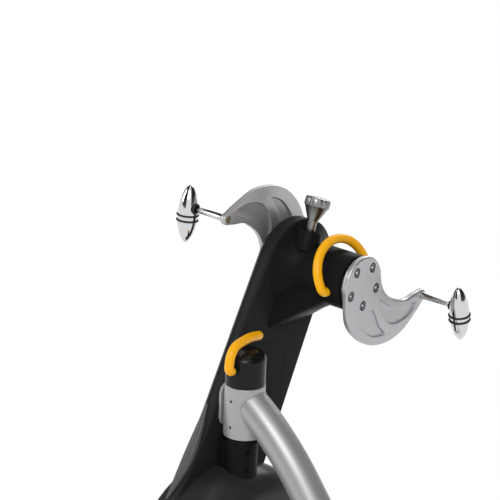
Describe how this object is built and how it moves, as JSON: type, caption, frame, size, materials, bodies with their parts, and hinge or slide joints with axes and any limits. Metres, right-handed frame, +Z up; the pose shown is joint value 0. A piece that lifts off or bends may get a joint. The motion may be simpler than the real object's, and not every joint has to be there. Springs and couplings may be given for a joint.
{
  "type": "upper body ergometer",
  "caption": "Free-standing arm crank trainer: curved tube stand, leaning swivel arm with a flywheel drum, comma-shaped cranks and bullet-shaped handles.",
  "frame": {"origin": "foot of the swivel axis on the floor", "axes": "+Z up, +X along the crank axle to the right crank, +Y to the side that the arm leans to"},
  "size_m": [0.998, 0.6691, 1.1711],
  "materials": {
    "arm_cover_left": "gloss",
    "arm_cover_right": "gloss",
    "arm_edge_trim": "grey satin",
    "arm_spine": "dark primer",
    "arm_wear_plate": "silver paint",
    "barrel_housing": "satin black",
    "barrel_inner_bearing": "ground",
    "barrel_lever": "yellow gloss",
    "barrel_outer_bearing": "ground",
    "base_beam": "silver paint",
    "brake_shoe": "friction lining",
    "bridge_bearing": "ground",
    "cap_housing": "glossy black",
    "cap_lever": "yellow gloss",
    "centre_axle": "ground",
    "drive_belt": "matt",
    "drive_pulley": "dark",
    "drum_cover_left": "gloss",
    "drum_cover_right": "gloss",
    "flywheel": "turned",
    "flywheel_bearing": "ground",
    "flywheel_pulley": "turned",
    "flywheel_shaft": "ground",
    "foot_flange": "silver paint",
    "front_cross_foot": "silver paint",
    "front_left_pad": "matt",
    "front_right_pad": "matt",
    "gooseneck_tube": "silver paint",
    "head_bridge": "dark primer",
    "hold_brake_pad": "friction lining",
    "left_clutch": "ground",
    "left_crank": "satin silver",
    "left_grommet": "matt",
    "left_handle": "polished",
    "left_handle_lower_ring": "matt",
    "left_handle_pin": "polished",
    "left_handle_upper_ring": "matt",
    "left_shaft": "turned",
    "lower_bush": "plain bronze",
    "lower_collar": "satin black",
    "pivot_sleeve": "silver paint",
    "rear_cross_foot": "silver paint",
    "rear_left_pad": "matt",
    "rear_right_pad": "matt",
    "resistance_knob": "polished",
    "right_clutch": "ground",
    "right_crank": "satin silver",
    "right_grommet": "matt",
    "right_handle": "polished",
    "right_handle_lower_ring": "matt",
    "right_handle_pin": "polished",
    "right_handle_upper_ring": "matt",
    "right_shaft": "turned",
    "swivel_lock_pad": "plain",
    "swivel_post": "ground",
    "thrust_ring": "satin",
    "transport_wheel_left": "matt",
    "transport_wheel_right": "matt",
    "upper_bracket": "satin black",
    "upper_bush": "plain bronze"
  },
  "bodies": {
    "frame": {"base_beam": "base_beam", "front_cross_foot": "front_cross_foot", "rear_cross_foot": "rear_cross_foot", "front_left_pad": "front_left_pad", "front_right_pad": "front_right_pad", "rear_left_pad": "rear_left_pad", "rear_right_pad": "rear_right_pad", "foot_flange": "foot_flange", "gooseneck_tube": "gooseneck_tube", "pivot_sleeve": "pivot_sleeve", "lower_bush": "lower_bush", "upper_bush": "upper_bush"},
    "wheel_left": {"transport_wheel_left": "transport_wheel_left"},
    "wheel_right": {"transport_wheel_right": "transport_wheel_right"},
    "arm": {"swivel_post": "swivel_post", "thrust_ring": "thrust_ring", "lower_collar": "lower_collar", "cap_housing": "cap_housing", "upper_bracket": "upper_bracket", "arm_wear_plate": "arm_wear_plate", "arm_cover_right": "arm_cover_right", "arm_cover_left": "arm_cover_left", "arm_edge_trim": "arm_edge_trim", "drum_cover_right": "drum_cover_right", "drum_cover_left": "drum_cover_left", "arm_spine": "arm_spine", "head_bridge": "head_bridge", "barrel_housing": "barrel_housing", "barrel_outer_bearing": "barrel_outer_bearing", "barrel_inner_bearing": "barrel_inner_bearing", "bridge_bearing": "bridge_bearing", "drive_belt": "drive_belt", "flywheel_bearing": "flywheel_bearing"},
    "swivel_lever": {"cap_lever": "cap_lever"},
    "lock_pad": {"swivel_lock_pad": "swivel_lock_pad"},
    "hold_lever": {"barrel_lever": "barrel_lever"},
    "hold_pad": {"hold_brake_pad": "hold_brake_pad"},
    "knob": {"resistance_knob": "resistance_knob"},
    "shoe": {"brake_shoe": "brake_shoe"},
    "pulley": {"drive_pulley": "drive_pulley", "right_clutch": "right_clutch", "left_clutch": "left_clutch"},
    "wheel": {"flywheel": "flywheel", "flywheel_shaft": "flywheel_shaft", "flywheel_pulley": "flywheel_pulley"},
    "crank_right": {"right_crank": "right_crank", "right_shaft": "right_shaft", "right_handle_pin": "right_handle_pin"},
    "crank_left": {"left_crank": "left_crank", "left_shaft": "left_shaft", "centre_axle": "centre_axle", "left_handle_pin": "left_handle_pin"},
    "grip_right": {"right_handle": "right_handle", "right_grommet": "right_grommet", "right_handle_upper_ring": "right_handle_upper_ring", "right_handle_lower_ring": "right_handle_lower_ring"},
    "grip_left": {"left_handle": "left_handle", "left_grommet": "left_grommet", "left_handle_upper_ring": "left_handle_upper_ring", "left_handle_lower_ring": "left_handle_lower_ring"}
  },
  "joints": [
    {"name": "wheel_left_roll", "type": "hinge", "parent": "frame", "child": "wheel_left", "pos_m": [-0.486, -0.15, 0.046], "axis": [0, 1, 0], "continuous": true},
    {"name": "wheel_right_roll", "type": "hinge", "parent": "frame", "child": "wheel_right", "pos_m": [-0.486, 0.15, 0.046], "axis": [0, 1, 0], "continuous": true},
    {"name": "arm_swivel", "type": "hinge", "parent": "frame", "child": "arm", "pos_m": [0, 0, 0.8], "axis": [0, 0, 1], "range_deg": [-85, 85]},
    {"name": "swivel_lever_swing", "type": "hinge", "parent": "arm", "child": "swivel_lever", "pos_m": [0, 0, 0.8926], "axis": [-0.1736, 0.9848, 0], "range_deg": [0, 25]},
    {"name": "lock_pad_slide", "type": "slide", "parent": "arm", "child": "lock_pad", "axis": [0, 0, -1], "range_m": [0, 0.001]},
    {"name": "hold_lever_swing", "type": "hinge", "parent": "arm", "child": "hold_lever", "pos_m": [0.065, 0.19, 1.02], "axis": [0, 0.9848, 0.1736], "range_deg": [0, 24]},
    {"name": "hold_pad_slide", "type": "slide", "parent": "arm", "child": "hold_pad", "axis": [0, 0, 1], "range_m": [0, 0.003]},
    {"name": "knob_turn", "type": "hinge", "parent": "arm", "child": "knob", "pos_m": [-0.018, 0.184, 1.094], "axis": [0, -0.342, -0.9397], "range_deg": [0, 720]},
    {"name": "shoe_swing", "type": "hinge", "parent": "arm", "child": "shoe", "pos_m": [0.003, 0.01969, 0.6554], "axis": [-1, 0, 0], "range_deg": [0, 2.8]},
    {"name": "flywheel_spin", "type": "hinge", "parent": "arm", "child": "wheel", "pos_m": [0.003, -0.01, 0.487], "axis": [1, 0, 0], "continuous": true},
    {"name": "pulley_spin", "type": "hinge", "parent": "arm", "child": "pulley", "pos_m": [-0.063, 0.19, 1.02], "axis": [1, 0, 0], "continuous": true},
    {"name": "right_crank_spin", "type": "hinge", "parent": "arm", "child": "crank_right", "pos_m": [0, 0.19, 1.02], "axis": [1, 0, 0], "continuous": true},
    {"name": "left_crank_spin", "type": "hinge", "parent": "arm", "child": "crank_left", "pos_m": [0, 0.19, 1.02], "axis": [1, 0, 0], "continuous": true},
    {"name": "right_handle_spin", "type": "hinge", "parent": "crank_right", "child": "grip_right", "pos_m": [0.1955, 0.36406, 0.95733], "axis": [1, 0, 0], "continuous": true},
    {"name": "left_handle_spin", "type": "hinge", "parent": "crank_left", "child": "grip_left", "pos_m": [-0.1875, 0.04148, 1.1303], "axis": [1, 0, 0], "continuous": true}
  ],
  "couplings": [
    {"joint": "pulley_spin", "follows": "flywheel_spin", "ratio": 0.42308},
    {"joint": "right_crank_spin", "follows": "flywheel_spin", "ratio": 0.42308},
    {"joint": "shoe_swing", "follows": "knob_turn", "ratio": 0.003888},
    {"joint": "hold_pad_slide", "follows": "hold_lever_swing", "m_per_rad": 0.00716},
    {"joint": "lock_pad_slide", "follows": "swivel_lever_swing", "m_per_rad": 0.00229}
  ]
}
